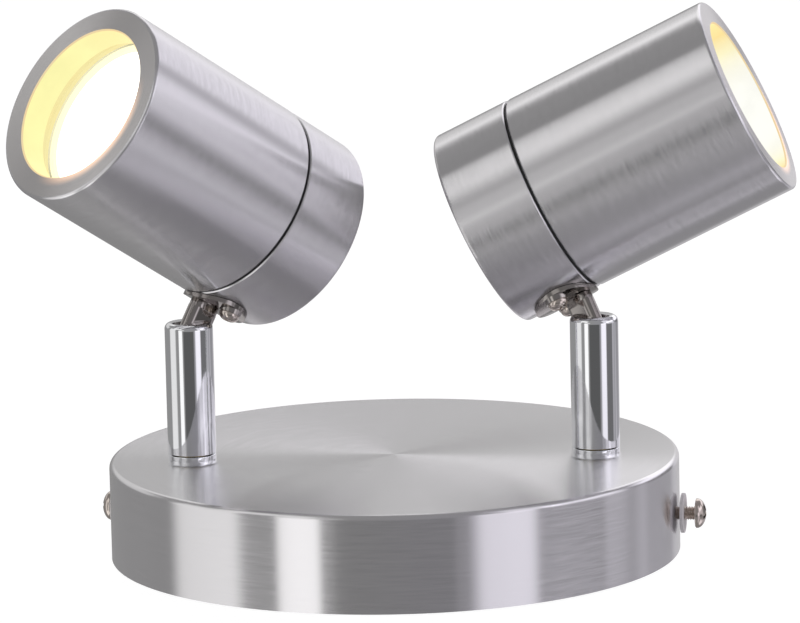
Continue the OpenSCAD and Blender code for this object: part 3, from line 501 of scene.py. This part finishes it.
# Painted lamp light: the mouth's bore, its lip, the inner wall, the glass seal, the glass ring and the
# reflector glow, though only the lamp's lens gives light.
mouth_glow = glowing("mouth_glow", 0.94, (0, (0.99, 0.94, 0.42)), (0.10, (0.99, 0.93, 0.42)),
                     (0.30, (0.99, 0.87, 0.38)), (0.50, (0.99, 0.81, 0.35)), (0.74, (0.99, 0.77, 0.32)),
                     (0.90, (1.0, 0.93, 0.60)), (1, (1.0, 1.0, 0.95)), round_mouth=True)
lip_glow = glowing("lip_glow", 0.85, (0, (1.0, 0.80, 0.46)), (1, (0.97, 0.72, 0.38)))
lamp_glow = glowing("lamp_glow", 3.0, (0, (1.0, 0.99, 0.95)), (1, (1.0, 0.97, 0.88)))
reflector_glow = glowing("reflector_glow", 1.3, (0, (1.0, 0.97, 0.70)), (1, (1.0, 0.94, 0.62)))
inner_glow = glowing("inner_glow", 0.7, (0, (0.90, 0.75, 0.42)), (1, (0.86, 0.70, 0.36)))
seal_glow = glowing("seal_glow", 0.92, (0, (0.92, 0.74, 0.34)), (1, (0.88, 0.68, 0.29)))
ring_glow = glowing("ring_glow", 0.96, (0, (1.0, 0.90, 0.46)), (1, (0.97, 0.84, 0.40)))
floor_stuff = pale_floor("floor_stuff")


def dress(node, material, bevel):
    """Gives a CAD node its material and softened edges."""
    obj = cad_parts[node]
    obj.data.materials.clear()
    obj.data.materials.append(material)
    obj.data.polygons.foreach_set("use_smooth", [True] * len(obj.data.polygons))
    weld = obj.modifiers.new("weld", "WELD")
    weld.merge_threshold = WELD_GAP
    if bevel:
        edge = obj.modifiers.new("edge", "BEVEL")
        edge.width = bevel
        edge.segments = 2
        edge.limit_method = "ANGLE"
        edge.angle_limit = math.radians(35)
        edge.harden_normals = False
    even_normals(obj)


def canopy():
    """Spun shell with its rounded top edge."""
    top = BASE_H
    rim = (BASE_R - RIM_R, top - RIM_R)
    outline = [(0, top), (BASE_R / 2, top)]
    outline += arc(rim, RIM_R, 90, 0)
    outline += [(BASE_R, 0), (BASE_R - SHEET, 0)]
    outline += arc(rim, RIM_R - SHEET, 0, 90, steps=4)
    outline += [(0, top - SHEET)]
    piece = lathe("canopy_shell", outline, turns=CANOPY_TURNS, closed=False)
    piece.data.materials.append(canopy_metal)
    even_normals(piece)
    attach(piece, "base")
    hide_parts("canopy")


def front_tube(side):
    """Tube with a flat rim, a mouth, lip and inner wall that glow with painted lamp light, and a
    bevelled rear edge.
    """
    length = HEAD_LEN
    edge = 0.9 * MM
    lip = 0.4 * MM
    bevel = 0.45 * MM
    mouth_z = length - MOUTH_L
    outline = [(HEAD_R - bevel, TUBE_Z0), (HEAD_R, TUBE_Z0 + bevel)]
    outline += arc((HEAD_R - edge, length - edge), edge, 0, 90)
    face_start = len(outline) - 1
    outline += [(MOUTH_R + lip, length)]
    lip_start = len(outline) - 1
    outline += [(MOUTH_R, length - lip)]
    mouth_start = len(outline) - 1
    outline += [(MOUTH_R, mouth_z)]
    inner_start = len(outline) - 1
    outline += [(HEAD_IN_R, mouth_z), (HEAD_IN_R, TUBE_Z0)]
    piece = lathe(side + "_front_shell", outline, head_frame(side))
    materials = [head_metal, rim_metal, mouth_glow, inner_glow, lip_glow]
    for material in materials:
        piece.data.materials.append(material)
    special = {face_start: rim_metal, lip_start: lip_glow,
               mouth_start: mouth_glow, inner_start: inner_glow}
    for k, face in enumerate(piece.data.polygons):
        face.material_index = materials.index(special.get(k // TURNS, head_metal))
    even_normals(piece)
    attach(piece, side + "_head")
    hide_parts(side + "_front_tube")


def rear_cup(side):
    """Cup with a rounded rear edge and the spigot under the front tube."""
    edge = 1.1 * MM
    bevel = 0.3 * MM
    floor = 2.5 * MM
    spigot_len = 7 * MM
    spigot_gap = 0.1 * MM
    spigot_end = TUBE_Z0 + spigot_len
    spigot_r = HEAD_IN_R - spigot_gap
    outline = [(0, 0)]
    outline += arc((HEAD_R - edge, edge), edge, -90, 0)
    outline += [(HEAD_R, CUP_LEN - bevel), (HEAD_R - bevel, CUP_LEN), (spigot_r, CUP_LEN)]
    outline += [(spigot_r, spigot_end), (CUP_IN_R, spigot_end), (CUP_IN_R, floor), (0, floor)]
    piece = lathe(side + "_cup_shell", outline, head_frame(side), closed=False)
    piece.data.materials.append(head_metal)
    even_normals(piece)
    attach(piece, side + "_head")
    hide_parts(side + "_rear_cup")


def post(side):
    """Chromed tube with a rounded, slotted top."""
    edge = 1.7 * MM
    wall = POST_R - POST_IN_R
    cap = 1.2 * MM
    slot_w = 5 * MM
    slot_front = 5.4 * MM
    slot_drop = 5.5 * MM
    soft_edge = 0.15 * MM
    over = 1 * MM
    rear_z = PIVOT_Z - slot_drop
    under_cap = POST_TOP - cap - wall / 2
    outline = [(0, POST_TOP)]
    outline += arc((POST_R - edge, POST_TOP - edge), edge, 90, 0, steps=12)
    outline += [(POST_R, POST_Z0), (POST_R - wall, POST_Z0), (POST_R - wall, under_cap), (0, under_cap)]
    place = post_frame(side)
    piece = lathe(side + "_post_shell", outline, place, turns=POST_TURNS, closed=False)
    r = slot_w / 2
    rear = block((-POST_R - over, -r, rear_z + r), (0, r, POST_TOP + over), place)
    front = block((-over, -r, POST_TOP - 2 * cap), (slot_front - r, r, POST_TOP + over), place)
    end = rod(r, 2 * cap + over, place @ Matrix.Translation((slot_front - r, 0, POST_TOP - 2 * cap)))
    bottom = rod(r, POST_R + over, place @ Matrix.Translation((-POST_R - over, 0, rear_z + r))
                 @ Matrix.Rotation(math.pi / 2, 4, "Y"))
    carve(piece, rear, front, end, bottom)
    piece.data.materials.append(chrome)
    rounded = piece.modifiers.new("edge", "BEVEL")
    rounded.width = soft_edge
    rounded.segments = 2
    rounded.limit_method = "ANGLE"
    rounded.angle_limit = math.radians(40)
    even_normals(piece)
    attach(piece, side + "_post")
    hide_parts(side + "_post_tube")


def thread(radius, depth, pitch, low, high):
    """Mesh of a threaded rod between two heights, whose thread fades in over its first turn."""
    steps = 36
    rows = 8
    bm = bmesh.new()
    count = round((high - low) / pitch * rows)
    rings = []
    for k in range(count + 1):
        z = low + (high - low) * k / count
        fade = min(1, k / rows)
        ring = []
        for i in range(steps):
            phase = (z / pitch - i / steps) % 1
            r = radius - depth * fade * (1 - abs(2 * phase - 1)) - depth * (1 - fade)
            a = 2 * math.pi * i / steps
            ring.append(bm.verts.new((r * math.cos(a), r * math.sin(a), z)))
        rings.append(ring)
    for below, above in zip(rings, rings[1:]):
        for i in range(steps):
            j = (i + 1) % steps
            bm.faces.new((below[i], below[j], above[j], above[i]))
    bm.faces.new(rings[0][::-1])
    bm.faces.new(rings[-1])
    mesh = bpy.data.meshes.new("thread")
    bm.to_mesh(mesh)
    bm.free()
    smooth(mesh, angle=60)
    return mesh


def side_screw_head():
    """Domed pan head with a cross recess, its seat at height 0."""
    r = SIDE_HEAD_R
    h = SIDE_HEAD_H
    rim = 0.35 * MM
    outline = [(0, 0), (r - rim, 0)] + arc((r - rim, rim), rim, -90, 0, steps=4)
    dome_steps = 12
    dome = [(r * math.cos(t), rim + (h - rim) * math.sin(t))
            for t in (math.pi / 2 * k / dome_steps for k in range(1, dome_steps))]
    head = lathe("head", outline + dome + [(0, h)], turns=SCREW_TURNS, closed=False)
    recess_l = r * 0.62
    recess_w = 0.5 * MM
    recess_z = h * 0.45
    cutters = []
    for turn in (0, 90):
        for way in (0, 180):
            place = Matrix.Rotation(math.radians(turn + way), 4, "Z")
            cutters.append(block((-recess_w, -recess_w, recess_z), (recess_l, recess_w, 2 * h), place))
    carve(head, *cutters)
    mesh = head.data
    bpy.data.objects.remove(head)
    return mesh


def side_screws():
    """Both side screws in one piece, each with a thread and a domed head."""
    low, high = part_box("side_screws")
    bm = bmesh.new()
    for end, reach in ((-1, -low.x), (1, high.x)):
        seat = reach - SIDE_HEAD_H
        place = Matrix.Translation((end * seat, 0, (low.z + high.z) / 2))
        place @= Matrix.Rotation(math.radians(90 * end), 4, "Y")
        place @= Matrix.Rotation(math.radians(RECESS_TURN), 4, "Z")
        shank = thread(SHANK_R, THREAD_DEPTH, THREAD_PITCH, SHANK_LOW, SHANK_HIGH)
        for mesh in (side_screw_head(), shank):
            mesh.transform(place)
            bm.from_mesh(mesh)
    joined = bpy.data.meshes.new("side_screws_threaded")
    bm.to_mesh(joined)
    bm.free()
    smooth(joined, angle=40)
    piece = link("side_screws_threaded", joined)
    piece.data.materials.append(screw_metal)
    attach(piece, "base")
    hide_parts("side_screws")


canopy()
side_screws()
for side in SIDES:
    front_tube(side)
    rear_cup(side)
    post(side)

finishes = {
    "wall_bracket": zinc, "side_washers": washer_stuff,
    "terminal_block": white_plastic, "terminal_barrels": brass, "terminal_screws": zinc,
    "earth_screw": brass, "nipples": brass, "nipple_nuts": zinc, "nipple_washers": zinc,
    "swivel_nuts": brass, "collars": chrome,
    "live_leads": brown, "neutral_leads": blue, "earth_leads": green,
}
side_finishes = {
    "foot_bush": dark_brass, "hinge_block": zinc, "hinge_pin": zinc, "post_leads": sleeve,
    "knuckle": nickel, "saddle": nickel, "saddle_screws": screw_metal, "stem_nut": zinc,
    "seal_ring": rubber, "glass_seal": seal_glow, "glass": glass, "glass_ring": ring_glow,
    "lampholder": ceramic, "holder_bracket": zinc, "holder_screws": screw_metal,
    "head_leads": sleeve, "lamp_base": ceramic, "lamp_reflector": reflector_glow,
    "lamp_lens": lamp_glow,
}
no_bevel = ("leads", "glass", "seal_ring", "lamp_lens", "lamp_reflector")
for side in SIDES:
    for node, material in side_finishes.items():
        finishes[f"{side}_{node}"] = material
for node, material in finishes.items():
    dress(node, material, 0 if node.endswith(no_bevel) else EDGE_BEVEL)


# Light: its hue at the left and at the right, the share of the white background that metal shows,
# and the plain level between the panels
LEFT_HUE = (1.0, 0.99, 0.98, 1)
RIGHT_HUE = (0.99, 0.96, 1.04, 1)
GLOSSY_WHITE = 0.1
SURROUNDING = 0.22

# Soft-edged panels. Each has its bearing, from the front of the posts' line to the right, its width,
# its lowest and highest elevation and the width of its edge, all in degrees. Last comes the
# brightness of a bright panel, or the share of the light that a dark one takes away.
BRIGHT_PANELS = {
    "left": (-81, 34, -60, 30, 8, 0.64),
    "left_floor": (-62, 60, -60, -30, 12, 0.56),
    "left_upper": (-60, 48, 30, 55, 8, 0.78),
    "front_left": (-38, 18, -60, 10, 3, 0.93),
    "front_left_upper": (-34, 26, 10, 30, 8, 0.44),
    "front_right": (46, 26, -12, 10, 8, 0.98),
    "front_right_floor": (50, 30, -60, -12, 12, 0.44),
    "front_right_upper": (60, 26, 10, 55, 8, 0.61),
    "right": (86, 44, -10, 30, 10, 0.44),
    "right_upper": (88, 44, 14, 34, 8, 0.70),
    "right_floor": (100, 44, -60, -30, 12, 0.89),
    "back_right": (150, 60, 12, 30, 10, 1.11),
    "back_right_middle": (163, 28, -8, 10, 6, 0.42),
    "back_upper": (180, 60, 30, 55, 12, 0.94),
    "back_low": (146, 64, -30, -8, 12, 0.28),
    "back_left": (-146, 60, 10, 30, 10, 0.44),
}
DARK_PANELS = {
    "camera_side": (1, 48, -16, -5, 3, 0.95),
    "right_side": (77, 34, -16, -5, 4, 0.80),
    "right_back": (136, 28, -12, 8, 6, 0.60),
}


def surround():
    """World that is white to the camera and through glass, and mostly shows other rays the panels."""
    world = bpy.data.worlds.new("surroundings")
    bpy.context.scene.world = world
    n = Nodes(world, "OutputWorld")
    split = n.node("SeparateXYZ")
    n.wire(n.node("TexCoord").outputs["Generated"], split.inputs[0])
    x, y, z = split.outputs
    bearing = n.math("DEGREES", n.math("ARCTAN2", x, n.math("MULTIPLY", y, -1.0)))
    elevation = n.math("DEGREES", n.math("ARCSINE", z))

    def inside(value, half, edge):
        """1 within half of zero and 0 beyond it, with a soft edge."""
        return n.ramp(n.math("ABSOLUTE", value), low=half - edge / 2, high=half + edge / 2,
                      out_low=1.0, out_high=0.0)

    def panel(centre, width, low, high, edge, amount):
        """Amount inside a panel, and 0 outside it."""
        wrapped = n.node("Math", operation="WRAP")
        n.wire(n.math("SUBTRACT", bearing, centre + math.degrees(POST_TURN)), wrapped.inputs[0])
        wrapped.inputs[1].default_value = 180
        wrapped.inputs[2].default_value = -180
        across = inside(wrapped.outputs[0], width / 2, edge)
        along = inside(n.math("SUBTRACT", elevation, (low + high) / 2), (high - low) / 2, edge)
        return n.math("MULTIPLY", n.math("MULTIPLY", across, along), amount)

    level = SURROUNDING
    for values in BRIGHT_PANELS.values():
        level = n.math("ADD", panel(*values), level)
    for values in DARK_PANELS.values():
        level = n.math("MULTIPLY", n.math("SUBTRACT", 1.0, panel(*values)), level)
    around = n.node("Background")
    hue = n.node("Mix", data_type="RGBA")
    hue.inputs[6].default_value = LEFT_HUE
    hue.inputs[7].default_value = RIGHT_HUE
    n.wire(n.ramp(x, low=-0.3, high=0.6, out_low=0.0, out_high=1.0), hue.inputs[0])
    n.wire(hue.outputs[2], around.inputs[0])
    n.wire(level, around.inputs[1])
    seen = n.node("Background")
    seen.inputs[0].default_value = (1, 1, 1, 1)
    pick = n.node("MixShader")
    path = n.node("LightPath").outputs
    shown = n.math("ADD", path["Is Camera Ray"], path["Is Transmission Ray"])
    shown = n.math("ADD", shown, n.math("MULTIPLY", path["Is Glossy Ray"], GLOSSY_WHITE))
    n.wire(n.math("MINIMUM", shown, 1.0), pick.inputs[0])
    n.wire(around.outputs[0], pick.inputs[1])
    n.wire(seen.outputs[0], pick.inputs[2])
    n.wire(pick.outputs[0], n.out.inputs[0])


def floor():
    """Wide plain floor just under the canopy."""
    z = cad_bounds[0][2] - FLOOR_GAP
    corners = [(-FLOOR_REACH, -FLOOR_REACH, z), (FLOOR_REACH, -FLOOR_REACH, z),
               (FLOOR_REACH, FLOOR_REACH, z), (-FLOOR_REACH, FLOOR_REACH, z)]
    mesh = bpy.data.meshes.new("floor")
    mesh.from_pydata(corners, [], [(0, 1, 2, 3)])
    mesh.materials.append(floor_stuff)
    link("floor", mesh)


def place_camera():
    """Camera at the photograph's viewing angle."""
    data = bpy.data.cameras.new("camera")
    data.sensor_width = SENSOR
    data.lens = FOCAL_PX / IMAGE_WIDTH * SENSOR
    data.clip_start = CAMERA_NEAR
    data.clip_end = CAMERA_FAR
    azimuth = POST_TURN + CAMERA_BEARING
    back = Vector((math.sin(azimuth) * math.cos(CAMERA_ELEVATION),
                   -math.cos(azimuth) * math.cos(CAMERA_ELEVATION),
                   math.sin(CAMERA_ELEVATION)))
    right = Vector((0, 0, 1)).cross(back).normalized()
    up = back.cross(right)
    turned_right = right * math.cos(CAMERA_ROLL) + up * math.sin(CAMERA_ROLL)
    turned_up = up * math.cos(CAMERA_ROLL) - right * math.sin(CAMERA_ROLL)
    placed = Matrix((turned_right, turned_up, back)).transposed().to_4x4()
    placed.translation = CAMERA_TARGET + back * CAMERA_DISTANCE
    bpy.context.scene.camera = link("camera", data, placed)


surround()
floor()
place_camera()

bpy.context.scene.view_settings.view_transform = "Standard"
